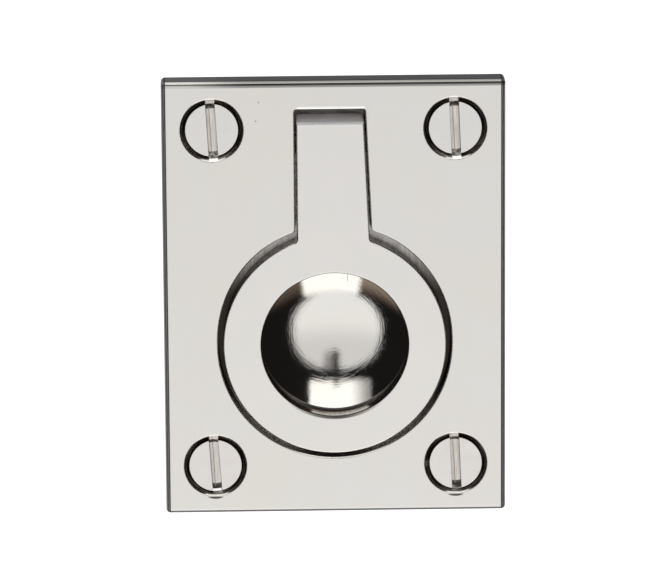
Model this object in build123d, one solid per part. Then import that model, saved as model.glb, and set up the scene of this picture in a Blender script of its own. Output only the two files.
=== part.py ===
from build123d import *

import os
from math import cos, radians, sin, sqrt, tan

# Recessed ring pull: a cast plate with a keyhole recess, a hinged ring, its pin and four screws.
# Millimetres. +Z is up, +X is to the right seen from the front, and the front faces -Y.
# The origin is the middle of the four screws, in the plane of the plate's back face.

# The ring: a flat annulus. Its neck sits a little left and narrows upwards on its right side only.
RING_OUTER_R = 12.85
RING_HOLE_R = 8.45
RING_THICKNESS = 2.4
RING_EDGE = 0.1
NECK_ROOT_WIDTH = 8.35
NECK_SHIFT = 0.08
NECK_TAPER = 2.6
NECK_ROOT_FILLET = 0.5
PIN_ABOVE_RING = 24.0
END_ABOVE_PIN = 2.67
NECK_END_SLOPE = 15.0

# The hinge pin, and how far the ring lifts before the neck's corner meets the hinge pocket.
PIN_R = 0.6
PIN_RUNNING_GAP = 0.05
PIN_SEAT_GAP = 0.02
PIN_BITE = 1.8
LIFT_ANGLE = 105.0
STOP_GAP = 0.1

# Gaps between the ring and the recess that it lies in.
RING_SIDE_GAP = 0.6
RING_DROP = 0.1
RECESS_STRETCH = 0.55
NECK_GAP = 0.22
NECK_END_GAP = 0.93
RING_BACK_GAP = 0.4

# The plate: its borders round the keyhole, and the thickness of the flange.
PLATE_THICKNESS = 3.0
BORDER_TOP = 3.35
BORDER_BOTTOM = 6.5
BORDER_SIDE = 6.2
PLATE_EDGE_R = 0.5
RECESS_EDGE = 0.1
RECESS_CORNER_R = 0.3
JUNCTION_R = 0.35

# The finger bowl sunk below the recess floor, and the cast walls behind it all.
BOWL_RISE = 0.4
BOWL_MOUTH_R = 8.6
BOWL_DEPTH = 3.5
CAST_WALL = 1.5
POCKET_GAP = 0.3
POCKET_CORNER_R = 0.6
BOSS_CORNER_R = 0.8
HOUSING_EDGE = 0.5

# Slotted countersunk wood screws, one near each corner.
SCREW_INSET_X = 5.75
SCREW_INSET_Z = 5.65
SCREW_LENGTH = 16.0
HEAD_R = 3.05
HEAD_SINK = 0.05
HEAD_RIM = 0.55
HEAD_SEAT_GAP = 0.02
SHANK_R = 1.5
CORE_R = 1.05
POINT_LENGTH = 1.8
POINT_R = 0.12
SHANK_HOLE_GAP = 0.2
DRIVER_SLOT_WIDTH = 1.05
DRIVER_SLOT_DEPTH = 0.9
SLOT_LEAN_TOP_LEFT = 3.3
SLOT_LEAN_TOP_RIGHT = 2.5
SLOT_LEAN_BOTTOM_LEFT = 4.0
SLOT_LEAN_BOTTOM_RIGHT = 2.6

# How near counts as touching when an edge or a face is looked for.
TOUCH = 0.01

# Places worked out from the sizes above. Depths are measured back from the front face.
RECESS_R = RING_OUTER_R + RING_SIDE_GAP
FLOOR_DEPTH = RING_THICKNESS + RING_BACK_GAP
PIN_DEPTH = RING_THICKNESS / 2
KEYHOLE_HEIGHT = NECK_END_GAP + END_ABOVE_PIN + PIN_ABOVE_RING - RING_DROP + RECESS_R
PLATE_HEIGHT = BORDER_TOP + KEYHOLE_HEIGHT + BORDER_BOTTOM
PLATE_WIDTH = 2 * (RECESS_R + BORDER_SIDE)
SLOT_TOP_Z = PLATE_HEIGHT / 2 - BORDER_TOP
NECK_TOP_Z = SLOT_TOP_Z - NECK_END_GAP
PIN_Z = NECK_TOP_Z - END_ABOVE_PIN
RING_Z = PIN_Z - PIN_ABOVE_RING
RECESS_LOW_Z = RING_Z + RING_DROP
RECESS_HIGH_Z = RECESS_LOW_Z + RECESS_STRETCH
BOWL_Z = RING_Z + BOWL_RISE
NECK_ROOT_Z = RING_Z + sqrt(RING_OUTER_R**2 - (NECK_ROOT_WIDTH / 2) ** 2)
NECK_LEFT_X = -NECK_ROOT_WIDTH / 2 - NECK_SHIFT
BOWL_SPHERE_R = (BOWL_MOUTH_R**2 + BOWL_DEPTH**2) / (2 * BOWL_DEPTH)
BOWL_CENTRE_DEPTH = FLOOR_DEPTH + BOWL_DEPTH - BOWL_SPHERE_R
BOSS_DEPTH = FLOOR_DEPTH + CAST_WALL
PAD_DEPTH = BOSS_DEPTH + BOWL_DEPTH
NECK_SWEEP_R = sqrt(END_ABOVE_PIN**2 + (RING_THICKNESS - PIN_DEPTH) ** 2)
POCKET_DEPTH = PIN_DEPTH + NECK_SWEEP_R + POCKET_GAP
SINK_MOUTH_R = HEAD_R + HEAD_SINK + HEAD_RIM
SCREW_X = PLATE_WIDTH / 2 - SCREW_INSET_X
SCREW_Z = PLATE_HEIGHT / 2 - SCREW_INSET_Z
SCREWS = [
    (-SCREW_X, SCREW_Z, SLOT_LEAN_TOP_LEFT),
    (SCREW_X, SCREW_Z, SLOT_LEAN_TOP_RIGHT),
    (-SCREW_X, -SCREW_Z, SLOT_LEAN_BOTTOM_LEFT),
    (SCREW_X, -SCREW_Z, SLOT_LEAN_BOTTOM_RIGHT),
]


def front_plane(depth):
    """A plane parallel to the front face, at a depth behind it. Its normal points at the viewer."""
    return Plane(origin=(0, depth - PLATE_THICKNESS, 0), x_dir=(1, 0, 0), z_dir=(0, -1, 0))


def slab(outline, near, far):
    """An outline drawn in the front view, made solid between two depths."""
    return extrude(front_plane(near) * outline, amount=near - far)


def side_prism(profile, left, right):
    """A profile drawn as (depth, height), made solid from left to right."""
    side = Plane(origin=(left, -PLATE_THICKNESS, 0), x_dir=(0, 1, 0), z_dir=(1, 0, 0))
    return extrude(side * profile, amount=right - left)


def turned(profile, x, z):
    """A half profile drawn as (radius, depth), turned about the axis through x and z."""
    section = Plane(origin=(x, -PLATE_THICKNESS, z), x_dir=(1, 0, 0), z_dir=(0, 0, 1))
    return revolve(section * profile, Axis((x, 0, z), (0, 1, 0)), 360)


def neck_right_x(z):
    """The neck's slanting right side at a height."""
    return NECK_ROOT_WIDTH / 2 - NECK_SHIFT - (z - NECK_ROOT_Z) * tan(radians(NECK_TAPER))


def neck_outline(low, top, gap):
    """The neck's four-sided outline, grown sideways by a gap."""
    left = NECK_LEFT_X - gap
    corners = [(left, low), (neck_right_x(low) + gap, low), (neck_right_x(top) + gap, top), (left, top)]
    return make_face(Polyline(*corners, close=True))


def keyhole_outline(grow, corner_r):
    """The outline of the recess, grown outwards by a wall thickness, with its upper corners rounded."""
    middle_z = (RECESS_LOW_Z + RECESS_HIGH_Z) / 2
    round_r = RECESS_R + grow
    outline = Pos(0, RECESS_LOW_Z) * Circle(round_r) + Pos(0, RECESS_HIGH_Z) * Circle(round_r)
    outline += Pos(0, middle_z) * Rectangle(2 * round_r, RECESS_STRETCH)
    outline += neck_outline(middle_z, SLOT_TOP_Z + grow, NECK_GAP + grow)
    outline = fillet(outline.vertices().sort_by(Axis.Y)[-2:], corner_r)
    junction = [v for v in outline.vertices() if RECESS_HIGH_Z + TOUCH < v.Y < RECESS_HIGH_Z + round_r]
    return fillet(junction, JUNCTION_R)


def pocket_low_z():
    """The pocket's lower face, which the neck's back corner meets just past the lift angle."""
    lift = radians(LIFT_ANGLE)
    corner_z = END_ABOVE_PIN * cos(lift) - (RING_THICKNESS - PIN_DEPTH) * sin(lift)
    return PIN_Z + corner_z - STOP_GAP


def pocket(grow, outline, near):
    """The hinge pocket within an outline, deep enough for the neck's end to turn in, grown by a wall."""
    low = pocket_low_z() - grow
    top = SLOT_TOP_Z + grow
    deep = POCKET_DEPTH + grow
    side = Pos(deep / 2, (low + top) / 2) * Rectangle(deep, top - low)
    side = fillet(side.vertices().sort_by(Axis.X)[-2:], POCKET_CORNER_R + grow)
    return side_prism(side, -RECESS_R, RECESS_R) & slab(outline, near, deep)


def rear_body():
    """What stands behind the flange: a boss round the keyhole, a pad behind the bowl, the hinge housing."""
    root = PLATE_THICKNESS / 2
    boss = slab(keyhole_outline(CAST_WALL, BOSS_CORNER_R), root, BOSS_DEPTH)
    pad = slab(Pos(0, BOWL_Z) * Circle(BOWL_MOUTH_R + CAST_WALL), root, PAD_DEPTH)
    round_slot = neck_outline(RECESS_LOW_Z, SLOT_TOP_Z + CAST_WALL, NECK_GAP + CAST_WALL)
    housing = pocket(CAST_WALL, round_slot, root)
    ends = housing.faces().sort_by(Axis.X)
    housing = chamfer(ends[0].edges() + ends[-1].edges(), HOUSING_EDGE)
    return boss + pad + housing


def hinge_pin(gap=0):
    """A plain round pin let into both sides of the slot. With a gap, the room that it is held in."""
    left = NECK_LEFT_X - NECK_GAP - PIN_BITE - gap
    right = neck_right_x(PIN_Z) + NECK_GAP + PIN_BITE + gap
    return side_prism(Pos(PIN_DEPTH, PIN_Z) * Circle(PIN_R + gap), left, right)


def countersink(x, z):
    """A clearance hole for a screw with its cone, cut a little past both faces."""
    hole_r = SHANK_R + SHANK_HOLE_GAP
    start = -PLATE_THICKNESS / 2
    cone_end = SINK_MOUTH_R - hole_r
    far = 2 * PLATE_THICKNESS
    outline = [(0, start), (SINK_MOUTH_R - start, start), (hole_r, cone_end), (hole_r, far), (0, far)]
    return turned(make_face(Polyline(*outline, close=True)), x, z)


def backplate():
    """The casting: flange and rear body, cut by the recess, pocket, bowl and screw holes."""
    flange = slab(Rectangle(PLATE_WIDTH, PLATE_HEIGHT), 0, PLATE_THICKNESS)
    front_rim = flange.faces().sort_by(Axis.Y)[0].edges()
    flange = fillet(front_rim + flange.edges().filter_by(Axis.Y), PLATE_EDGE_R)
    body = flange + rear_body()
    keyhole = keyhole_outline(0, RECESS_CORNER_R)
    body -= slab(keyhole, -PLATE_THICKNESS, FLOOR_DEPTH)
    body -= Pos(0, BOWL_CENTRE_DEPTH - PLATE_THICKNESS, BOWL_Z) * Sphere(BOWL_SPHERE_R)
    for x, z, _ in SCREWS:
        body -= countersink(x, z)
    keyhole_rim = max(body.faces().sort_by(Axis.Y)[0].inner_wires(), key=lambda wire: wire.length)
    body = chamfer(keyhole_rim.edges(), RECESS_EDGE)
    return body - pocket(0, keyhole, 0) - hinge_pin(PIN_SEAT_GAP)


def pull_ring():
    """Ring and neck in one piece, the neck's end filed to a slope and bored for the pin."""
    neck_low = RING_Z + (RING_OUTER_R + RING_HOLE_R) / 2
    outline = Pos(0, RING_Z) * Circle(RING_OUTER_R) + neck_outline(neck_low, NECK_TOP_Z, 0)
    roots = [v for v in outline.vertices() if abs(v.Y - NECK_ROOT_Z) < NECK_ROOT_FILLET]
    outline = fillet(roots, NECK_ROOT_FILLET) - Pos(0, RING_Z) * Circle(RING_HOLE_R)
    body = slab(outline, 0, RING_THICKNESS)
    low = RING_Z - 2 * RING_OUTER_R
    front_top = NECK_TOP_Z - RING_THICKNESS * tan(radians(NECK_END_SLOPE))
    side = [(0, low), (RING_THICKNESS, low), (RING_THICKNESS, NECK_TOP_Z), (0, front_top)]
    body &= side_prism(make_face(Polyline(*side, close=True)), -2 * RING_OUTER_R, 2 * RING_OUTER_R)
    body = chamfer(body.edges(), RING_EDGE)
    bore = Pos(PIN_DEPTH, PIN_Z) * Circle(PIN_R + PIN_RUNNING_GAP)
    body -= side_prism(bore, -RING_OUTER_R, RING_OUTER_R)
    return body


def screw(x, z, lean):
    """A slotted countersunk wood screw. Its plain shank ends at the plate's back, where the thread starts."""
    head_top = HEAD_SINK
    head_r = HEAD_R - HEAD_SEAT_GAP
    rim_end = head_top + HEAD_RIM
    tip = head_top + SCREW_LENGTH
    outline = [
        (0, head_top),
        (head_r, head_top),
        (head_r, rim_end),
        (SHANK_R, rim_end + head_r - SHANK_R),
        (SHANK_R, PLATE_THICKNESS),
        (CORE_R, PLATE_THICKNESS),
        (CORE_R, tip - POINT_LENGTH),
        (POINT_R, tip),
        (0, tip),
    ]
    body = turned(make_face(Polyline(*outline, close=True)), x, z)
    slot = Pos(x, z) * Rot(0, 0, lean) * Rectangle(DRIVER_SLOT_WIDTH, 3 * HEAD_R)
    return body - slab(slot, 0, head_top + DRIVER_SLOT_DEPTH)


if __name__ == "__main__":
    os.makedirs("parts", exist_ok=True)
    export_step(backplate(), "parts/backplate.step")
    export_step(pull_ring(), "parts/pull_ring.step")
    export_step(hinge_pin(), "parts/hinge_pin.step")
    export_step(Compound([screw(x, z, lean) for x, z, lean in SCREWS]), "parts/mounting_screws.step")
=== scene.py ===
from math import cos, pi, radians, sin

import bpy
import numpy as np
from mathutils import Matrix, Vector


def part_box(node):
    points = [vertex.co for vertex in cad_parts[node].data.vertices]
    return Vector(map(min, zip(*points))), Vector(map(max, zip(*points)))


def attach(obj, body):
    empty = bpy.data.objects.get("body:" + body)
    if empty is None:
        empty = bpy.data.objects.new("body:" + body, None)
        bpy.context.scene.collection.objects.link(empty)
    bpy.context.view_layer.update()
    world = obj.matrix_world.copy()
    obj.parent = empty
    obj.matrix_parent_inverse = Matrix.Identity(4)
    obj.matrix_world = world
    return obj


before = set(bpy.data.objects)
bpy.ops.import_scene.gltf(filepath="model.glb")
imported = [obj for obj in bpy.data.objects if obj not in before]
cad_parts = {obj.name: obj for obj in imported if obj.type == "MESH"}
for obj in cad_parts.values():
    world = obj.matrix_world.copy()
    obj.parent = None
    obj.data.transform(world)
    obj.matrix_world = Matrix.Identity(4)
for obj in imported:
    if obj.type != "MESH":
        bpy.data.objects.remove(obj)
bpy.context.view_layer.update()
MM = 0.001


# The backplate is one brass casting, nickel plated. Its front is ground flat and buffed to a mirror,
# the finger bowl is polished with a small spinning mop, which leaves rings of fine marks,
# and the back stays as it was cast, hidden in the wood.
plate_low, plate_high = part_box("backplate")
RECESS_FLOOR_Y = plate_low.y + 2.8 * MM
BOWL_MOUTH_R = 8.6 * MM
BOWL_DEPTH = 3.5 * MM
BOWL_SPHERE_R = (BOWL_MOUTH_R ** 2 + BOWL_DEPTH ** 2) / (2 * BOWL_DEPTH)
BOWL_CENTRE = (0.0, RECESS_FLOOR_Y + BOWL_DEPTH - BOWL_SPHERE_R, -5.15 * MM)
POLISH_R = 15.6 * MM
POLISH_CENTRE = (0.0, RECESS_FLOOR_Y - (POLISH_R ** 2 - BOWL_MOUTH_R ** 2) ** 0.5, -5.15 * MM)
SCREW_X = 13.9 * MM
SCREW_Z = 19.75 * MM
SLOT_LEAN = 0.054


def feed(socket, source):
    """Links the socket to another one, or sets a plain value on it."""
    if isinstance(source, bpy.types.NodeSocket):
        socket.id_data.links.new(source, socket)
    else:
        socket.default_value = source


def add(tree, kind, sources=(), **settings):
    """A new node with its settings, and its inputs fed from a dict of names, or in order from a tuple."""
    made = tree.nodes.new("ShaderNode" + kind)
    for name, value in settings.items():
        setattr(made, name, value)
    pairs = sources.items() if isinstance(sources, dict) else enumerate(sources)
    for key, source in pairs:
        feed(made.inputs[key], source)
    return made


def calc(tree, operation, *values, clamp=False):
    """The result of one Math node."""
    return add(tree, "Math", values, operation=operation, use_clamp=clamp).outputs[0]


def product(tree, first, *others):
    """All of the masks multiplied."""
    for other in others:
        first = calc(tree, "MULTIPLY", first, other)
    return first


def invert(tree, mask):
    """A mask that is 1 where the given one is 0."""
    return calc(tree, "SUBTRACT", 1.0, mask)


def between(tree, mask, first, second):
    """The first number where the mask is 0, and the second where it is 1."""
    return calc(tree, "MULTIPLY_ADD", mask, second - first, first)


def vector_calc(tree, operation, *values):
    """The vector that one Vector Math node puts out."""
    return add(tree, "VectorMath", values, operation=operation).outputs["Vector"]


def length(tree, vector):
    """How long a vector is."""
    return add(tree, "VectorMath", (vector,), operation="LENGTH").outputs["Value"]


def flatten(tree, vector):
    """A vector without its depth, as it is seen from the front."""
    return vector_calc(tree, "MULTIPLY", vector, (1.0, 0.0, 1.0))


def step(tree, value, edge, blur):
    """A mask: 0 well below the edge, 1 well above it, with a smooth change over the blur to each side."""
    sources = {"Value": value, "From Min": edge - blur, "From Max": edge + blur}
    return add(tree, "MapRange", sources, interpolation_type="SMOOTHSTEP").outputs["Result"]


def blend_colours(tree, mask, first, second):
    """The first colour where the mask is 0, and the second where it is 1."""
    made = add(tree, "Mix", {0: mask}, data_type="RGBA")
    feed(made.inputs[6], first)
    feed(made.inputs[7], second)
    return made.outputs[2]


def spot(tree, place, middle, radius, blur):
    """A mask: 1 within the radius of a middle as seen from the front, with a soft rim."""
    offset = flatten(tree, vector_calc(tree, "SUBTRACT", place, middle))
    return invert(tree, step(tree, length(tree, offset), radius, blur))


def noise(tree, place, scale, **settings):
    """The value of a noise texture, with settings such as its Detail."""
    return add(tree, "TexNoise", {"Vector": place, "Scale": scale, **settings}).outputs["Fac"]


def bump(tree, height, distance, **more):
    """The normal after it is tilted by the slopes of a height. Its Normal and Strength may be given."""
    return add(tree, "Bump", {"Height": height, "Distance": distance, **more}).outputs["Normal"]


def new_group(name, inputs, output):
    """A shader node group with those inputs and one Float output, and the sockets to wire inside it."""
    tree = bpy.data.node_groups.new(name, "ShaderNodeTree")
    for label, kind in inputs.items():
        tree.interface.new_socket(label, in_out="INPUT", socket_type="NodeSocket" + kind)
    tree.interface.new_socket(output, in_out="OUTPUT", socket_type="NodeSocketFloat")
    entry = tree.nodes.new("NodeGroupInput").outputs
    return tree, entry, tree.nodes.new("NodeGroupOutput").inputs[output]


def place_group(tree, group, **sources):
    """The output of a group placed in a material, with its inputs fed by name."""
    made = tree.nodes.new("ShaderNodeGroup")
    made.node_tree = group
    for label, source in sources.items():
        feed(made.inputs[label], source)
    return made.outputs[0]


def make_buffed_haze():
    """Soft unevenness of a buffed face: broad noise gives a mask for its tint and its polish."""
    tree, entry, mask = new_group("buffed_haze", {"Position": "Vector", "Size": "Float"}, "Mask")
    broad = noise(tree, entry["Position"], calc(tree, "DIVIDE", 1.0, entry["Size"]), Detail=3.0)
    feed(mask, step(tree, broad, 0.5, 0.22))
    return tree


def make_ring_marks():
    """Marks that run in circles round the Y axis: noise read at (distance from the axis, direction round it),
    stretched along the circles, as a lathe tool or a spinning mop leaves them."""
    inputs = {"Offset": "Vector", "Spacing": "Float", "Length": "Float"}
    tree, entry, height = new_group("ring_marks", inputs, "Height")
    flat = flatten(tree, entry["Offset"])
    across = calc(tree, "DIVIDE", length(tree, flat), entry["Spacing"])
    turned = add(tree, "VectorMath", {0: vector_calc(tree, "NORMALIZE", flat)}, operation="SCALE")
    feed(turned.inputs["Scale"], calc(tree, "DIVIDE", 1.0, entry["Length"]))
    lifted = add(tree, "CombineXYZ", {"Y": across}).outputs[0]
    where = vector_calc(tree, "ADD", turned.outputs["Vector"], lifted)
    feed(height, noise(tree, where, 1.0, Detail=4.0, Roughness=0.65))
    return tree


buffed_haze = make_buffed_haze()
ring_marks = make_ring_marks()


def new_metal(name):
    """A metal material, its tree, its shader's inputs, the place on the piece, and the place's X, Y and Z."""
    material = bpy.data.materials.new(name)
    material.use_nodes = True
    tree = material.node_tree
    shader = tree.nodes["Principled BSDF"]
    feed(shader.inputs["Metallic"], 1.0)
    place = add(tree, "TexCoord").outputs["Object"]
    return material, tree, shader.inputs, place, add(tree, "SeparateXYZ", (place,)).outputs


def rounded(tree, radius):
    """The normal of the piece with its edges shaded as if rounded off by that radius."""
    return add(tree, "Bevel", {"Radius": radius}, samples=8).outputs[0]


def dress(node, material, crease):
    """Gives a CAD node its material and smooth shading, sharp where faces meet at more than the crease."""
    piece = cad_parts[node]
    mesh = piece.data
    mesh.materials.clear()
    mesh.materials.append(material)
    if "custom_normal" in mesh.attributes:
        mesh.attributes.remove(mesh.attributes["custom_normal"])
    mesh.polygons.foreach_set("use_smooth", np.ones(len(mesh.polygons), bool))
    mesh.polygons.foreach_set("material_index", np.zeros(len(mesh.polygons), np.int32))
    piece.modifiers.new("joined", "WELD").merge_threshold = 0.001 * MM
    creases = piece.modifiers.new("creases", "EDGE_SPLIT")
    creases.split_angle = radians(crease)
    creases.use_edge_sharp = False
    piece.modifiers.new("even_faces", "WEIGHTED_NORMAL").weight = 100


def screw_place(tree, place, parts):
    """Where a point is round the screw nearest to it: its offset from the axis, with the four screws folded
    onto one, its distance from the axis, how far right of the leaning slot it is, and how far up."""
    folded = vector_calc(tree, "ABSOLUTE", place)
    offset = flatten(tree, vector_calc(tree, "SUBTRACT", folded, (SCREW_X, 0.0, SCREW_Z)))
    across, up = (
        calc(tree, "SUBTRACT", parts[axis], calc(tree, "MULTIPLY", calc(tree, "SIGN", parts[axis]), middle))
        for axis, middle in (("X", SCREW_X), ("Z", SCREW_Z))
    )
    return offset, length(tree, offset), calc(tree, "MULTIPLY_ADD", up, SLOT_LEAN, across), up


# From here on a pair is an edge with its blur, the middle of a band with its half width, or the two numbers
# that a value goes between.
SLOT_END_HALF = 0.50 * MM
CONE_R = 3.66 * MM
UPPER_END_DEPTH = 0.60 * MM
LOWER_END_DEPTH = 1.20 * MM
DEEP_END_DEPTH = 0.30 * MM
# The depths of a band of painted highlight in the groove below the lower left screw.
GROOVE_LIGHT = (0.62 * MM, 0.10 * MM)


def slot_ends(tree, parts, depth, radius, lateral, upper):
    """Masks of the countersinks' walls at the two ends of each driver slot, which get a painted highlight: all
    of them, and their deep part, which gets painted shade. Below the lower screws they keep the sunk walls'
    painted shade as a dark groove, but for a band of painted highlight at the left one."""
    end_depth = between(tree, upper, LOWER_END_DEPTH, UPPER_END_DEPTH)
    grooved = calc(tree, "LESS_THAN", parts["Z"], -SCREW_Z)
    at_left = calc(tree, "LESS_THAN", parts["X"], 0.0)
    light_band = product(tree, at_left, calc(tree, "COMPARE", depth, *GROOVE_LIGHT))
    dark_groove = product(tree, grooved, invert(tree, light_band))
    ends = product(
        tree,
        calc(tree, "LESS_THAN", calc(tree, "ABSOLUTE", lateral), SLOT_END_HALF),
        calc(tree, "LESS_THAN", radius, CONE_R),
        calc(tree, "LESS_THAN", depth, end_depth),
        invert(tree, dark_groove),
    )
    below = calc(tree, "GREATER_THAN", depth, DEEP_END_DEPTH)
    return ends, product(tree, below, invert(tree, upper), invert(tree, grooved))


# Where the painted shade on the sunk walls starts, below the face.
SHADE_DEPTH = 0.36 * MM
SINK_RISE = -0.30 * MM
LOW_SINK_RISE = -0.22 * MM
LOW_SIDE = (2.4 * MM, 0.9 * MM)
SHADE_BLUR = 0.05 * MM
RIM_WIDTH = 1.0 * MM


def sunk_walls(tree, parts, depth, in_sink, up):
    """A mask of the walls below the face that the wheel can't reach, which are dull and take painted shade,
    from a little less deep in the sinks.
    """
    low_side = step(tree, calc(tree, "MULTIPLY", up, -1.0), *LOW_SIDE)
    rise = between(tree, low_side, SINK_RISE, LOW_SINK_RISE)
    start = calc(tree, "MULTIPLY_ADD", in_sink, rise, SHADE_DEPTH)
    over_x, over_z = (
        calc(tree, "SUBTRACT", calc(tree, "ABSOLUTE", parts[axis]), limit)
        for axis, limit in (("X", plate_high.x), ("Z", plate_high.z))
    )
    inside = calc(tree, "LESS_THAN", calc(tree, "MAXIMUM", over_x, over_z), -RIM_WIDTH)
    return product(tree, step(tree, calc(tree, "SUBTRACT", depth, start), 0.0, SHADE_BLUR), inside)


FACE_NICKEL = (0.724, 0.716, 0.690, 1.0)
# Painted dark shade on the sunk walls and on the deep part of the slot ends; also the colour of the slip
# marks.
SHADE_AND_SCUFF_DARK = (0.085, 0.072, 0.064, 1.0)
# Painted light: a lit copy of the nickel on the chattered upper floor of the recess.
LIT_FLOOR_NICKEL = (1.000, 0.970, 0.930, 1.0)
LIT_WALL = (0.980, 0.960, 0.920, 1.0)
SINK_LINE = (0.560, 0.525, 0.490, 1.0)
FLOOR_SKIN = 0.03 * MM
LIT_FLOOR = (3.5 * MM, 4.0 * MM)
CHATTER_STRETCH = (2.6 / MM, 0.0, 0.5 / MM)
CHATTER_RANGE = (0.25, 1.85)
TOP_WALL_Z = 21.6 * MM
LOW_WALL = (-13.5 * MM, 3.5 * MM)
OFF_MIDDLE = (3.6 * MM, 1.6 * MM)
MIDDLE_SHARE = 0.3
SINK_LINE_SPACING = 0.16 * MM
SINK_LINE_EDGE = (0.53, 0.06)
BURR = (10.58 * MM, 0.0, -19.85 * MM)
BURR_RIM = (0.36 * MM, 0.10 * MM)


def sunk_shade_colour(tree, place, parts, from_screw, in_sink):
    """The colour of the sunk walls: painted dark shade, with painted light on the chattered upper floor and on
    the walls that face the light, lined by the cutter in the sinks, with a bright burr in one of them."""
    floor = calc(tree, "COMPARE", parts["Y"], RECESS_FLOOR_Y, FLOOR_SKIN)
    chatter = noise(tree, vector_calc(tree, "MULTIPLY", place, CHATTER_STRETCH), 1.0, Detail=3.0)
    streaks = between(tree, chatter, *CHATTER_RANGE)
    streaked = calc(tree, "MULTIPLY", step(tree, parts["Z"], *LIT_FLOOR), streaks, clamp=True)
    colour = blend_colours(tree, product(tree, floor, streaked), SHADE_AND_SCUFF_DARK, LIT_FLOOR_NICKEL)
    off_middle = step(tree, calc(tree, "ABSOLUTE", parts["X"]), *OFF_MIDDLE)
    low_wall = product(tree, invert(tree, step(tree, parts["Z"], *LOW_WALL)),
                       between(tree, off_middle, MIDDLE_SHARE, 1.0))
    lit_wall = calc(tree, "MAXIMUM", calc(tree, "GREATER_THAN", parts["Z"], TOP_WALL_Z), low_wall)
    colour = blend_colours(tree, product(tree, lit_wall, invert(tree, in_sink)), colour, LIT_WALL)
    lines = place_group(tree, ring_marks, Offset=from_screw, Spacing=SINK_LINE_SPACING, Length=0.9)
    lines = product(tree, step(tree, lines, *SINK_LINE_EDGE), in_sink)
    colour = blend_colours(tree, lines, colour, SINK_LINE)
    return blend_colours(tree, spot(tree, place, BURR, *BURR_RIM), colour, FACE_NICKEL)


WARM_NICKEL = (0.735, 0.705, 0.668, 1.0)
MARK_DARK = (0.160, 0.155, 0.150, 1.0)
MARK_SHARE = 0.6
SPECKS = ((-8.53 * MM, 0.0, 22.93 * MM), (-8.88 * MM, 0.0, 20.76 * MM))
SPECK_RIM = (0.09 * MM, 0.05 * MM)
SCRATCH_X = (1.62 * MM, 0.045 * MM)
SCRATCH_Z = (1.45 * MM, 0.55 * MM)
# A painted highlight along the lip above the hinge pocket.
POCKET_LIP_HIGHLIGHT = (1.000, 0.990, 0.980, 1.0)
POCKET_LIP_HIGHLIGHT_SHARE = 0.8
POCKET_LIP_X = (-0.3 * MM, 3.85 * MM)
POCKET_LIP_Z = (22.22 * MM, 0.14 * MM)


def face_colour(tree, place, parts, haze, bowl):
    """The colour of the buffed front: nickel in two close tints, two specks, a scratch in the bowl, and
    a painted highlight along the lip above the hinge pocket."""
    colour = blend_colours(tree, haze, FACE_NICKEL, WARM_NICKEL)
    specks = calc(tree, "MAXIMUM", *(spot(tree, place, middle, *SPECK_RIM) for middle in SPECKS))
    scratch = product(tree, bowl, calc(tree, "COMPARE", parts["X"], *SCRATCH_X),
                      calc(tree, "COMPARE", parts["Z"], *SCRATCH_Z))
    marks = product(tree, calc(tree, "MAXIMUM", specks, scratch), MARK_SHARE)
    colour = blend_colours(tree, marks, colour, MARK_DARK)
    lip_highlight = product(tree, calc(tree, "COMPARE", parts["Z"], *POCKET_LIP_Z),
                  calc(tree, "COMPARE", parts["X"], *POCKET_LIP_X), POCKET_LIP_HIGHLIGHT_SHARE)
    return blend_colours(tree, lip_highlight, colour, POCKET_LIP_HIGHLIGHT)


# Painted shade on the plate's dull side and bottom edges, and a painted dark reflection line along its edges.
SHADED_EDGE_NICKEL = (0.400, 0.400, 0.415, 1.0)
SHADED_LOW_EDGE_NICKEL = (0.150, 0.150, 0.158, 1.0)
PAINTED_EDGE_DARK = (0.060, 0.058, 0.060, 1.0)
SIDE_BAND = (-0.46 * MM, 0.05 * MM)
LOW_BAND = (-0.32 * MM, 0.05 * MM)
SIDE_LINE = (-0.45 * MM, 0.07 * MM)
TOP_SHADE = (0.78 * MM, 0.06 * MM)
TOP_SHADE_SHARE = (0.18, 0.60)
TOP_LINE = (0.44 * MM, 0.13 * MM)
TOP_LINE_SHARE = (0.13, 0.85)
FROM_LEFT = (-13.5 * MM, 4.0 * MM)
FRONT_END_Y = -0.01 * MM


def edge_colour(tree, parts, colour):
    """The colour with the plate's rounded edges laid over it, and the mask of the dull bands. The sides and
    the bottom are dull and darkened by painted shade. A painted dark reflection line runs along each side and
    the top, fainter at the top's left, beside a band of painted shade along the top."""
    in_front = calc(tree, "LESS_THAN", parts["Y"], FRONT_END_Y)
    side_edge = calc(tree, "SUBTRACT", calc(tree, "ABSOLUTE", parts["X"]), plate_high.x)
    low_edge = calc(tree, "SUBTRACT", plate_low.z, parts["Z"])
    top_edge = calc(tree, "SUBTRACT", plate_high.z, parts["Z"])
    side_band = product(tree, step(tree, side_edge, *SIDE_BAND), in_front)
    low_band = product(tree, step(tree, low_edge, *LOW_BAND), in_front)
    colour = blend_colours(tree, side_band, colour, SHADED_EDGE_NICKEL)
    colour = blend_colours(tree, low_band, colour, SHADED_LOW_EDGE_NICKEL)
    from_left = step(tree, parts["X"], *FROM_LEFT)
    side_line = calc(tree, "COMPARE", side_edge, *SIDE_LINE)
    top_shade = product(tree, invert(tree, step(tree, top_edge, *TOP_SHADE)),
                        between(tree, from_left, *TOP_SHADE_SHARE))
    top_line = product(tree, calc(tree, "COMPARE", top_edge, *TOP_LINE),
                       between(tree, from_left, *TOP_LINE_SHARE))
    for mask in (side_line, top_shade, top_line):
        colour = blend_colours(tree, product(tree, mask, in_front), colour, PAINTED_EDGE_DARK)
    return colour, calc(tree, "MAXIMUM", side_band, low_band)


SLIP_BELOW = 3.84 * MM
SLIP_HALF_WIDTH = 0.85 * MM
SLIP_HALF_HEIGHT = 0.13 * MM
SLIP_SAG = 0.09 * MM
SLIP_EDGE = (1.0, 0.5)
SLIP_SHARE = 0.95


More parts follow.
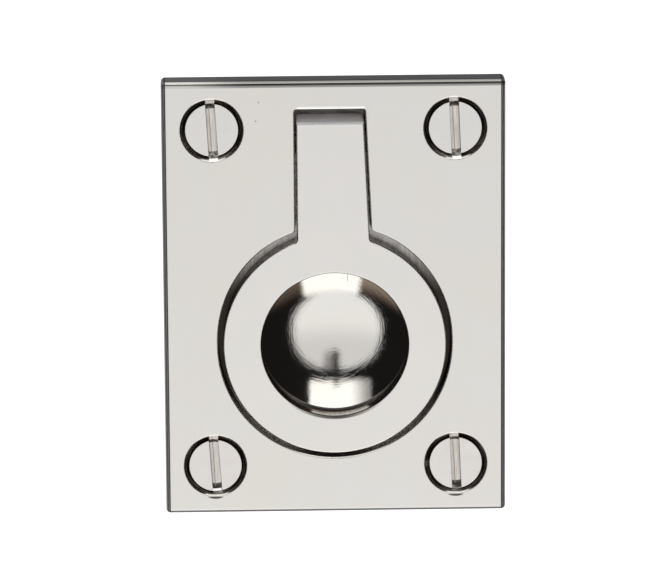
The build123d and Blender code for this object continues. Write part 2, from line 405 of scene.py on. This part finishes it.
def slip_marks(tree, parts):
    """A mask of the small arcs that a slipping screwdriver left under the two lower screws."""
    across = calc(tree, "SUBTRACT", calc(tree, "ABSOLUTE", parts["X"]), SCREW_X)
    across = calc(tree, "POWER", calc(tree, "DIVIDE", across, SLIP_HALF_WIDTH), 2.0)
    height = calc(tree, "SUBTRACT", parts["Z"], calc(tree, "MULTIPLY", across, SLIP_SAG))
    height = calc(tree, "DIVIDE", calc(tree, "ADD", height, SCREW_Z + SLIP_BELOW), SLIP_HALF_HEIGHT)
    spread = calc(tree, "ADD", across, calc(tree, "POWER", height, 2.0))
    return product(tree, invert(tree, step(tree, spread, *SLIP_EDGE)), SLIP_SHARE)


CAST_NICKEL = (0.560, 0.545, 0.510, 1.0)
# A painted highlight on the countersinks at the slot ends, and painted shade on their deep part.
SLOT_END_HIGHLIGHT = (1.000, 0.990, 0.980, 1.0)
DEEP_END_SHADE = (0.300, 0.290, 0.285, 1.0)
BOWL_SKIN = 0.06 * MM
BELOW_FLOOR = 0.01 * MM
CAST_START = (-0.06 * MM, 0.03 * MM)
SINK_R = 3.9 * MM
PLATE_EDGE_R = 0.24 * MM
MOP_SPACING = 0.22 * MM
MOP_HEIGHT = 0.010 * MM
CAST_GRAIN = 0.9 / MM
CAST_HEIGHT = 0.12 * MM
MOTTLE_GRAIN = 3.4 / MM
MOTTLE_EDGE = (0.5, 0.1)
PLATE_POLISH = (0.10, 0.13)
BOWL_POLISH = -0.05
UPPER_END_ROUGHNESS = 0.12
SUNK_ROUGHNESS = 0.34
CAST_ROUGHNESS = 0.45


def make_plate_metal():
    """Buffed nickel on the front, finer in the bowl with rings of mop marks, and grainy cast metal behind.
    In the recess, the hinge pocket and the countersinks it is dull, with painted shade, lifted in places by
    painted light and highlights."""
    material, tree, shader, place, parts = new_metal("plate_nickel")
    depth = calc(tree, "SUBTRACT", parts["Y"], plate_low.y)
    to_centre = vector_calc(tree, "SUBTRACT", BOWL_CENTRE, place)
    bowl = product(tree, calc(tree, "COMPARE", length(tree, to_centre), BOWL_SPHERE_R, BOWL_SKIN),
                   calc(tree, "GREATER_THAN", parts["Y"], RECESS_FLOOR_Y + BELOW_FLOOR))
    outside = invert(tree, bowl)
    behind = product(tree, step(tree, parts["Y"], *CAST_START), outside)

    from_screw, screw_reach, lateral, up = screw_place(tree, place, parts)
    in_sink = calc(tree, "LESS_THAN", screw_reach, SINK_R)
    upper = calc(tree, "GREATER_THAN", up, 0.0)
    ends, deep_ends = slot_ends(tree, parts, depth, screw_reach, lateral, upper)
    sunk = product(tree, sunk_walls(tree, parts, depth, in_sink, up), outside, invert(tree, ends))

    haze = place_group(tree, buffed_haze, Position=place, Size=6 * MM)
    mottle = step(tree, noise(tree, place, MOTTLE_GRAIN, Detail=2.0), *MOTTLE_EDGE)
    deep_colour = blend_colours(tree, mottle, DEEP_END_SHADE, SHADE_AND_SCUFF_DARK)
    end_colour = blend_colours(tree, deep_ends, SLOT_END_HIGHLIGHT, deep_colour)
    colour = blend_colours(tree, ends, face_colour(tree, place, parts, haze, bowl), end_colour)
    sunk_shade = sunk_shade_colour(tree, place, parts, from_screw, in_sink)
    colour = blend_colours(tree, sunk, colour, sunk_shade)
    colour, dull_edge = edge_colour(tree, parts, colour)
    colour = blend_colours(tree, slip_marks(tree, parts), colour, SHADE_AND_SCUFF_DARK)
    feed(shader["Base Color"], blend_colours(tree, behind, colour, CAST_NICKEL))

    to_polish = vector_calc(tree, "SUBTRACT", POLISH_CENTRE, place)
    true_bowl = add(tree, "VectorTransform", (to_polish,), vector_type="NORMAL",
                    convert_from="OBJECT", convert_to="WORLD").outputs[0]
    chosen = add(tree, "Mix", {0: bowl}, data_type="VECTOR")
    feed(chosen.inputs[4], rounded(tree, PLATE_EDGE_R))
    feed(chosen.inputs[5], true_bowl)
    normal = vector_calc(tree, "NORMALIZE", chosen.outputs[1])
    mop_marks = place_group(tree, ring_marks, Offset=to_centre, Spacing=MOP_SPACING, Length=0.34)
    mopped = bump(tree, mop_marks, MOP_HEIGHT, Normal=normal, Strength=bowl)
    grain = noise(tree, place, CAST_GRAIN, Detail=6.0)
    feed(shader["Normal"], bump(tree, grain, CAST_HEIGHT, Normal=mopped, Strength=behind))

    rough = calc(tree, "MULTIPLY_ADD", bowl, BOWL_POLISH, between(tree, haze, *PLATE_POLISH))
    rough = calc(tree, "MULTIPLY_ADD", product(tree, ends, upper), UPPER_END_ROUGHNESS, rough)
    rough = calc(tree, "MULTIPLY_ADD", calc(tree, "MAXIMUM", sunk, dull_edge), SUNK_ROUGHNESS, rough)
    feed(shader["Roughness"], calc(tree, "MAXIMUM", rough, product(tree, behind, CAST_ROUGHNESS)))
    return material


dress("backplate", make_plate_metal(), crease=22)


# The pull ring is cast flat with its neck in one piece, ground, buffed and plated like the plate.
# The neck's top end, which turns in the hinge pocket, is left as cast and drilled for the pin.
ring_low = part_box("pull_ring")[0]
RING_MIDDLE = (0.0, 0.0, -5.55 * MM)
RING_NICKEL = (0.752, 0.730, 0.705, 1.0)
RING_SHADE = (0.742, 0.724, 0.696, 1.0)
# Painted shade on the ring's outer wall, in two tones along its grinding lines.
SHADED_RING_WALL = (0.560, 0.520, 0.480, 1.0)
SHADED_RING_WALL_DARK = (0.160, 0.140, 0.125, 1.0)
# Painted light: the neck's dull cast end gets a colour brighter than the nickel.
LIT_NECK_END = (0.900, 0.880, 0.900, 1.0)
# Painted shade and highlight in the hole: a dark brown wall, a bright line round it and a dark front edge.
HOLE_WALL_SHADE = (0.460, 0.340, 0.265, 1.0)
HOLE_HIGHLIGHT = (1.000, 0.990, 0.980, 1.0)
HOLE_EDGE_SHADE = (0.060, 0.055, 0.050, 1.0)
OUTER_WALL_R = 10.5 * MM
WALL_DEPTH = (0.34 * MM, 0.10 * MM)
END_Z = (20.30 * MM, 0.05 * MM)
HOLE_R = 8.53 * MM
HOLE_HIGHLIGHT_DEPTH = (0.60 * MM, 0.38 * MM)
HOLE_EDGE_DEPTH = 0.24 * MM
LIP_HALF_WIDTH = 5.5 * MM
LIP_TOP_Z = -8.0 * MM
LIP_INNER = (8.44 * MM, 0.03 * MM)
LIP_OUTER = (8.80 * MM, 0.08 * MM)
LIP_DARKNESS = 0.9
GRIND_STRETCH = (3.0 / MM, 0.15 / MM, 3.0 / MM)
GRIND_EDGE = (0.52, 0.2)
GRIND_HEIGHT = 0.012 * MM
RING_POLISH = (0.09, 0.12)
RING_WALL_ROUGHNESS = 0.26
END_ROUGHNESS = 0.6
END_METALLIC = 0.3
RING_EDGE_R = (0.28 * MM, 0.26 * MM)


def hole_shade(tree, parts, reach):
    """A mask of painted shade on the lip at the bottom of the hole's rim, strongest in the middle."""
    aside = calc(tree, "DIVIDE", parts["X"], LIP_HALF_WIDTH)
    middle = calc(tree, "SUBTRACT", 1.0, calc(tree, "MULTIPLY", aside, aside), clamp=True)
    low = calc(tree, "LESS_THAN", parts["Z"], LIP_TOP_Z)
    inner, outer = step(tree, reach, *LIP_INNER), invert(tree, step(tree, reach, *LIP_OUTER))
    return product(tree, middle, low, outer, inner, LIP_DARKNESS)


def make_ring_metal():
    """Buffed nickel a little warmer than the plate's. The walls below the face are duller, with grinding lines
    that run from front to back, and darkened by painted shade. The hole's wall is a dark brown painted shade
    with a painted highlight round it and a painted dark line at its front edge, and the neck's end is painted
    light."""
    material, tree, shader, place, parts = new_metal("ring_nickel")
    depth = calc(tree, "SUBTRACT", parts["Y"], ring_low.y)
    reach = length(tree, flatten(tree, vector_calc(tree, "SUBTRACT", place, RING_MIDDLE)))
    outer = calc(tree, "GREATER_THAN", reach, OUTER_WALL_R)
    wall = product(tree, step(tree, depth, *WALL_DEPTH), outer)
    end = step(tree, parts["Z"], *END_Z)
    hole = calc(tree, "LESS_THAN", reach, HOLE_R)
    haze = place_group(tree, buffed_haze, Position=place, Size=5 * MM)
    along_wall = vector_calc(tree, "MULTIPLY", place, GRIND_STRETCH)
    lines = noise(tree, along_wall, 1.0, Detail=4.0, Roughness=0.6)

    hole_colour = blend_colours(tree, calc(tree, "COMPARE", depth, *HOLE_HIGHLIGHT_DEPTH), HOLE_WALL_SHADE, HOLE_HIGHLIGHT)
    at_edge = calc(tree, "LESS_THAN", depth, HOLE_EDGE_DEPTH)
    hole_colour = blend_colours(tree, at_edge, hole_colour, HOLE_EDGE_SHADE)
    wall_colour = blend_colours(tree, step(tree, lines, *GRIND_EDGE), SHADED_RING_WALL_DARK, SHADED_RING_WALL)
    colour = blend_colours(tree, haze, RING_NICKEL, RING_SHADE)
    colour = blend_colours(tree, wall, colour, wall_colour)
    colour = blend_colours(tree, hole, colour, hole_colour)
    colour = blend_colours(tree, hole_shade(tree, parts, reach), colour, HOLE_EDGE_SHADE)
    feed(shader["Base Color"], blend_colours(tree, end, colour, LIT_NECK_END))

    rough = calc(tree, "MULTIPLY_ADD", wall, RING_WALL_ROUGHNESS, between(tree, haze, *RING_POLISH))
    feed(shader["Roughness"], calc(tree, "MAXIMUM", rough, product(tree, end, END_ROUGHNESS)))
    feed(shader["Metallic"], between(tree, end, 1.0, END_METALLIC))
    edge = rounded(tree, between(tree, outer, *RING_EDGE_R))
    feed(shader["Normal"], bump(tree, lines, GRIND_HEIGHT, Normal=edge, Strength=wall))
    return material


dress("pull_ring", make_ring_metal(), crease=22)


# The hinge pin is a plain drawn rod, held in blind seats in the casting. It is hidden but for a glint beside
# the neck, and its colour is a painted dark shade.
PIN_SHADE = (0.070, 0.062, 0.056, 1.0)
DRAWN_STRETCH = (0.05 / MM, 12 / MM, 12 / MM)
DRAWN_HEIGHT = 0.002 * MM
PIN_ROUGHNESS = (0.4, 0.6)


def make_pin_metal():
    """Drawn wire: fine lines along its length, which runs in X."""
    material, tree, shader, place, _ = new_metal("pin_metal")
    feed(shader["Base Color"], PIN_SHADE)
    lines = noise(tree, vector_calc(tree, "MULTIPLY", place, DRAWN_STRETCH), 1.0, Detail=3.0)
    feed(shader["Roughness"], between(tree, lines, *PIN_ROUGHNESS))
    feed(shader["Normal"], bump(tree, lines, DRAWN_HEIGHT))
    return material


dress("hinge_pin", make_pin_metal(), crease=30)


# The four screws are turned from brass and nickel plated, with a milled slot in a countersunk head.
# Their threads start where the shank leaves the plate and run to the point.
screw_low, screw_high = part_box("mounting_screws")
HEAD_NICKEL = (0.730, 0.712, 0.690, 1.0)
HEAD_PINK = (0.735, 0.690, 0.660, 1.0)
SLOT_NICKEL = (0.790, 0.750, 0.710, 1.0)
SLOT_SHADE = (0.600, 0.560, 0.520, 1.0)
# Painted shade on the slot's walls; also the colour of the tool line on its floor.
WALL_SHADE_AND_TOOL_LINE = (0.260, 0.235, 0.210, 1.0)
# Painted shade on the head's sunk side and at the ends of the slot floor.
RIM_SHADE = (0.100, 0.088, 0.080, 1.0)
TOP_SKIN = (0.12 * MM, 0.05 * MM)
HEAD_END = (1.4 * MM, 0.1 * MM)
SLOT_FLOOR = (0.86 * MM, 0.02 * MM)
HEAD_RIM = (2.96 * MM, 0.04 * MM)
UPPER_SCREWS = (-10 * MM, 5 * MM)
PINK_SHARE = (0.8, 0.05)
MILL_STRETCH = (9.0 / MM, 2.0 / MM, 0.35 / MM)
MILL_EDGE = (0.5, 0.2)
MILL_HEIGHT = 0.004 * MM
UPPER_DARK_FROM = (2.62 * MM, 2.40 * MM)
LOWER_DARK_FROM = 2.32 * MM
DARK_BLUR = 0.06 * MM
TOOL_LINE_X = -0.17 * MM
TOOL_LINE = (0.05 * MM, 0.05 * MM)
TOOL_LINE_SHARE = 0.9
LATHE_SPACING = 0.09 * MM
LATHE_HEIGHT = 0.0015 * MM
HEAD_POLISH = (0.14, 0.22)
SLOT_ROUGHNESS = 0.16
HEAD_EDGE_R = 0.08 * MM


def slot_floor_colour(tree, scratches, radius, lateral, upper, high):
    """The milled floor of the slots: two tints along the cutter's marks, painted shade at its ends and a dark
    tool line.
    """
    colour = blend_colours(tree, step(tree, scratches, *MILL_EDGE), SLOT_SHADE, SLOT_NICKEL)
    from_start = calc(tree, "SUBTRACT", radius, between(tree, high, *UPPER_DARK_FROM))
    upper_end = product(tree, step(tree, from_start, 0.0, DARK_BLUR), upper)
    lower_end = product(tree, step(tree, radius, LOWER_DARK_FROM, DARK_BLUR), invert(tree, upper),
                        invert(tree, high))
    colour = blend_colours(tree, calc(tree, "MAXIMUM", upper_end, lower_end), colour, RIM_SHADE)
    from_line = calc(tree, "ABSOLUTE", calc(tree, "SUBTRACT", lateral, TOOL_LINE_X))
    tool_line = product(tree, invert(tree, step(tree, from_line, *TOOL_LINE)), TOOL_LINE_SHARE)
    return blend_colours(tree, tool_line, colour, WALL_SHADE_AND_TOOL_LINE)


def make_screw_metal():
    """Lathe rings on each head, with mottled plating. Below the top the milled slot is duller, with fine
    marks along it and painted shade on its walls, and the rim's side is a painted dark shade."""
    material, tree, shader, place, parts = new_metal("screw_nickel")
    depth = calc(tree, "SUBTRACT", parts["Y"], screw_low.y)
    offset, radius, lateral, up = screw_place(tree, place, parts)
    upper = calc(tree, "GREATER_THAN", up, 0.0)
    high = step(tree, parts["Z"], *UPPER_SCREWS)
    in_head = invert(tree, step(tree, depth, *HEAD_END))
    sunk = product(tree, step(tree, depth, *TOP_SKIN), in_head)
    rim = product(tree, step(tree, radius, *HEAD_RIM), sunk)
    floor = product(tree, step(tree, depth, *SLOT_FLOOR), in_head)
    walls = product(tree, sunk, invert(tree, floor))
    haze = place_group(tree, buffed_haze, Position=place, Size=1.3 * MM)
    scratches = noise(tree, vector_calc(tree, "MULTIPLY", place, MILL_STRETCH), 1.0, Detail=3.0)

    pink = product(tree, haze, between(tree, high, *PINK_SHARE))
    colour = blend_colours(tree, pink, HEAD_NICKEL, HEAD_PINK)
    floor_colour = slot_floor_colour(tree, scratches, radius, lateral, upper, high)
    colour = blend_colours(tree, floor, colour, floor_colour)
    colour = blend_colours(tree, walls, colour, WALL_SHADE_AND_TOOL_LINE)
    feed(shader["Base Color"], blend_colours(tree, rim, colour, RIM_SHADE))

    polish = between(tree, haze, *HEAD_POLISH)
    feed(shader["Roughness"], calc(tree, "MULTIPLY_ADD", sunk, SLOT_ROUGHNESS, polish))
    rings = place_group(tree, ring_marks, Offset=offset, Spacing=LATHE_SPACING, Length=2.0)
    turned = bump(tree, rings, LATHE_HEIGHT, Normal=rounded(tree, HEAD_EDGE_R))
    feed(shader["Normal"], bump(tree, scratches, MILL_HEIGHT, Normal=turned, Strength=floor))
    return material


screw_nickel = make_screw_metal()
dress("mounting_screws", screw_nickel, crease=22)
screw_tip = screw_high.y
THREAD_START_Y = 0.35 * MM
THREAD_STOP_Y = screw_tip - 0.3 * MM
CORE_R = 1.05 * MM
CORE_END_Y = screw_tip - 1.8 * MM
POINT_R = 0.12 * MM
THREAD_R = 1.48 * MM
THREAD_PITCH = 1.15 * MM
RIDGE_HALF_WIDTH = 0.26 * MM
FOOT_SUNK = 0.05 * MM
FADE_IN_TURNS = 0.7
FADE_OUT_TURNS = 1.2
LEAST_RIDGE = 0.03
STEPS_A_TURN = 48


def thread(axis_x, axis_z):
    """A wood screw's thread as points and faces: a three-cornered ridge carried along a right-handed helix.
    Its foot follows the core, which narrows to the point, and its crest fades in and out at the two ends."""
    turns = (THREAD_STOP_Y - THREAD_START_Y) / THREAD_PITCH
    turn = np.linspace(0, turns, int(turns * STEPS_A_TURN))
    y = THREAD_START_Y + THREAD_PITCH * turn
    core = np.interp(y, [THREAD_START_Y, CORE_END_Y, screw_tip], [CORE_R, CORE_R, POINT_R])
    fade = np.clip(np.minimum(turn / FADE_IN_TURNS, (turns - turn) / FADE_OUT_TURNS), LEAST_RIDGE, 1)
    crest = core + (THREAD_R - CORE_R) * fade
    foot = core - FOOT_SUNK
    radius = np.stack([foot, crest, foot], axis=1)
    shift = np.array([-1, 0, 1]) * RIDGE_HALF_WIDTH * fade[:, None]
    angle = 2 * pi * turn[:, None]
    x, z = axis_x + radius * np.sin(angle), axis_z + radius * np.cos(angle)
    points = np.stack([x, y[:, None] + shift, z], axis=-1)
    index = np.arange(radius.size).reshape(radius.shape)
    onward = np.roll(index, -1, axis=1)
    sides = np.stack([index[:-1], index[1:], onward[1:], onward[:-1]], axis=-1).reshape(-1, 4)
    ends = [list(index[0]), list(index[-1][::-1])]
    return points.reshape(-1, 3), sides.tolist() + ends


def new_piece(name, points, faces, material, body):
    """A mesh object at the origin, riding on a body."""
    mesh = bpy.data.meshes.new(name)
    mesh.from_pydata(points.tolist(), [], faces)
    mesh.materials.append(material)
    piece = bpy.data.objects.new(name, mesh)
    bpy.context.scene.collection.objects.link(piece)
    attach(piece, body)


for number, (side_x, side_z) in enumerate([(-1, 1), (1, 1), (-1, -1), (1, -1)], start=1):
    thread_points, thread_faces = thread(side_x * SCREW_X, side_z * SCREW_Z)
    new_piece(f"screw_thread_{number}", thread_points, thread_faces, screw_nickel, "plate")


# The floor is a wide pale sheet under the hanging part, painted matt. Camera rays see it white,
# and it is see-through from below.
FLOOR_Z = -80 * MM
FLOOR_HALF = 6.0
FLOOR_PAINT = (0.82, 0.82, 0.81, 1.0)
FLOOR_LIFT = 0.75
WHITE = (1.0, 1.0, 1.0, 1.0)


def make_floor():
    """Pale paint, lifted to white for camera rays, on one large square."""
    material = bpy.data.materials.new("pale_floor")
    material.use_nodes = True
    tree = material.node_tree
    shader = tree.nodes["Principled BSDF"]
    feed(shader.inputs["Base Color"], FLOOR_PAINT)
    feed(shader.inputs["Roughness"], 0.9)
    feed(shader.inputs["Emission Color"], WHITE)
    seen = add(tree, "LightPath").outputs["Is Camera Ray"]
    feed(shader.inputs["Emission Strength"], calc(tree, "MULTIPLY", seen, FLOOR_LIFT))
    mix = add(tree, "MixShader")
    feed(mix.inputs[0], add(tree, "NewGeometry").outputs["Backfacing"])
    feed(mix.inputs[1], shader.outputs[0])
    feed(mix.inputs[2], add(tree, "BsdfTransparent").outputs[0])
    feed(tree.nodes["Material Output"].inputs["Surface"], mix.outputs[0])
    mesh = bpy.data.meshes.new("floor")
    corners = [(x * FLOOR_HALF, y * FLOOR_HALF, FLOOR_Z) for x, y in ((-1, -1), (1, -1), (1, 1), (-1, 1))]
    mesh.from_pydata(corners, [], [(0, 1, 2, 3)])
    mesh.materials.append(material)
    floor = bpy.data.objects.new("floor", mesh)
    bpy.context.scene.collection.objects.link(floor)
    floor.visible_glossy = False


make_floor()


# The studio is a dim room with soft panels: a round one in front and a box above, each with a dark notch,
# a card below with brown wood round it, and two tall ones behind. In degrees, pitch is 0 in front, 90 up and
# 180 behind, and the side angle is 0 in the middle. A card is its range of sides, of pitches, and its blur.
ROOM_DARK = (0.011, 0.010, 0.010, 1.0)
DISC_MIDDLE = (-1.4, -13.7)
DISC_HALF = (35.1, 33.2)
DISC_POWER = 2.4
DISC_BLUR = 0.12
DISC_LOW = (1.09, 1.085, 1.08, 1.0)
DISC_HIGH = (0.845, 0.85, 0.85, 1.0)
DISC_FALL = (-12.0, 12.0)
NOTCH = ((-3.0, 2.3), (3.6, 30.0), 1.3)
SMEAR = ((-1.5, 9.0), (5.0, 23.0), 3.8)
SMEAR_SHARE = 0.65
REAR_START = (0.05, 0.08)
REAR_GREY = (0.15, 0.15, 0.16, 1.0)
FLANK_START = (26.0, 8.0)
FLANK_PANEL = (0.80, 0.80, 0.79, 1.0)
WOOD = ((-50.0, 48.0), (-104.0, -54.0), 10.0)
WOOD_FADE = (0.0, 20.0)
WOOD_LEFT = (0.34, 0.265, 0.205, 1.0)
WOOD_RIGHT = (0.15, 0.11, 0.085, 1.0)
LOWER_CARD = ((-16.4, 22.4), (-112.0, -46.0), 1.6)
LOWER_LIGHT = (1.45, 1.42, 1.38, 1.0)
BOX = ((-28.6, 21.5), (28.5, 104.0), 0.9)
BOX_FADE = (-18.9, 9.0)
BOX_LEFT = (0.42, 0.42, 0.42, 1.0)
BOX_RIGHT = (1.45, 1.44, 1.40, 1.0)
OVERHEAD_START = (64.0, 4.0)
BOX_OVERHEAD = (1.08, 1.07, 1.045, 1.0)
BOX_NOTCH = ((-2.4, 1.4), (25.0, 33.0), 1.8)
BOX_NOTCH_DARK = (0.08, 0.08, 0.08, 1.0)


def make_studio():
    """The world: white to camera rays, and to all others the panels, each with its own soft edge."""
    world = bpy.data.worlds.new("studio")
    bpy.context.scene.world = world
    world.use_nodes = True
    tree = world.node_tree
    parts = add(tree, "SeparateXYZ", (add(tree, "TexCoord").outputs["Generated"],)).outputs
    side = calc(tree, "DEGREES", calc(tree, "ARCSINE", parts["X"]))
    forward = calc(tree, "MULTIPLY", parts["Y"], -1.0)
    pitch = calc(tree, "DEGREES", calc(tree, "ARCTAN2", parts["Z"], forward))

    def window(value, low, high, blur):
        """A mask that is 1 between low and high."""
        return calc(tree, "SUBTRACT", step(tree, value, low, blur), step(tree, value, high, blur))

    def card(side_range, pitch_range, blur):
        """A soft-edged rectangle of directions."""
        return product(tree, window(side, *side_range, blur), window(pitch, *pitch_range, blur))

    def off_disc(value, middle, half):
        """How far from the disc's middle a direction is, as a power of its share of the half width."""
        share = calc(tree, "DIVIDE", calc(tree, "SUBTRACT", value, middle), half)
        return calc(tree, "POWER", calc(tree, "ABSOLUTE", share), DISC_POWER)

    spread = calc(tree, "ADD", off_disc(side, DISC_MIDDLE[0], DISC_HALF[0]),
                  off_disc(pitch, DISC_MIDDLE[1], DISC_HALF[1]))
    shade = calc(tree, "MAXIMUM", card(*NOTCH), product(tree, card(*SMEAR), SMEAR_SHARE))
    disc = product(tree, invert(tree, step(tree, spread, 1.0, DISC_BLUR)), invert(tree, shade))
    disc_light = blend_colours(tree, step(tree, pitch, *DISC_FALL), DISC_LOW, DISC_HIGH)

    rear = step(tree, parts["Y"], *REAR_START)
    flank = step(tree, calc(tree, "ABSOLUTE", side), *FLANK_START)
    wood = blend_colours(tree, step(tree, side, *WOOD_FADE), WOOD_LEFT, WOOD_RIGHT)
    box = blend_colours(tree, step(tree, side, *BOX_FADE), BOX_LEFT, BOX_RIGHT)
    box = blend_colours(tree, step(tree, pitch, *OVERHEAD_START), box, BOX_OVERHEAD)
    light = ROOM_DARK
    for mask, colour in (
        (rear, REAR_GREY),
        (product(tree, rear, flank), FLANK_PANEL),
        (card(*WOOD), wood),
        (card(*LOWER_CARD), LOWER_LIGHT),
        (card(*BOX), box),
        (card(*BOX_NOTCH), BOX_NOTCH_DARK),
        (disc, disc_light),
    ):
        light = blend_colours(tree, mask, light, colour)

    background = tree.nodes["Background"]
    seen = add(tree, "LightPath").outputs["Is Camera Ray"]
    feed(background.inputs["Color"], blend_colours(tree, seen, light, WHITE))
    feed(background.inputs["Strength"], 1.0)


make_studio()


# The camera stands a little above and left of the part, far off, as a long lens does.
# Its three angles are in degrees.
CAMERA_TURN = -1.31
CAMERA_RISE = 12.94
CAMERA_ROLL = -0.38
CAMERA_DISTANCE = 600 * MM
AIM = Vector((-0.24, -3.0, 0.52)) * MM
PHOTO_WIDTH = 665
FOCAL_PIXELS = 5225


def make_camera():
    """A camera that looks at AIM from the photograph's side, with the photograph's field of view."""
    data = bpy.data.cameras.new("camera")
    data.sensor_width = 36
    data.lens = data.sensor_width * FOCAL_PIXELS / PHOTO_WIDTH
    data.clip_start = 10 * MM
    turn, rise, roll = radians(CAMERA_TURN), radians(CAMERA_RISE), radians(CAMERA_ROLL)
    back = Vector((sin(turn) * cos(rise), -cos(turn) * cos(rise), sin(rise)))
    right = Vector((0, 0, 1)).cross(back).normalized()
    up = back.cross(right)
    right, up = right * cos(roll) + up * sin(roll), up * cos(roll) - right * sin(roll)
    facing = Matrix((right, up, back)).transposed().to_4x4()
    camera = bpy.data.objects.new("camera", data)
    camera.matrix_world = Matrix.Translation(AIM + back * CAMERA_DISTANCE) @ facing
    bpy.context.scene.collection.objects.link(camera)
    bpy.context.scene.camera = camera


make_camera()
bpy.context.scene.view_settings.view_transform = "Standard"
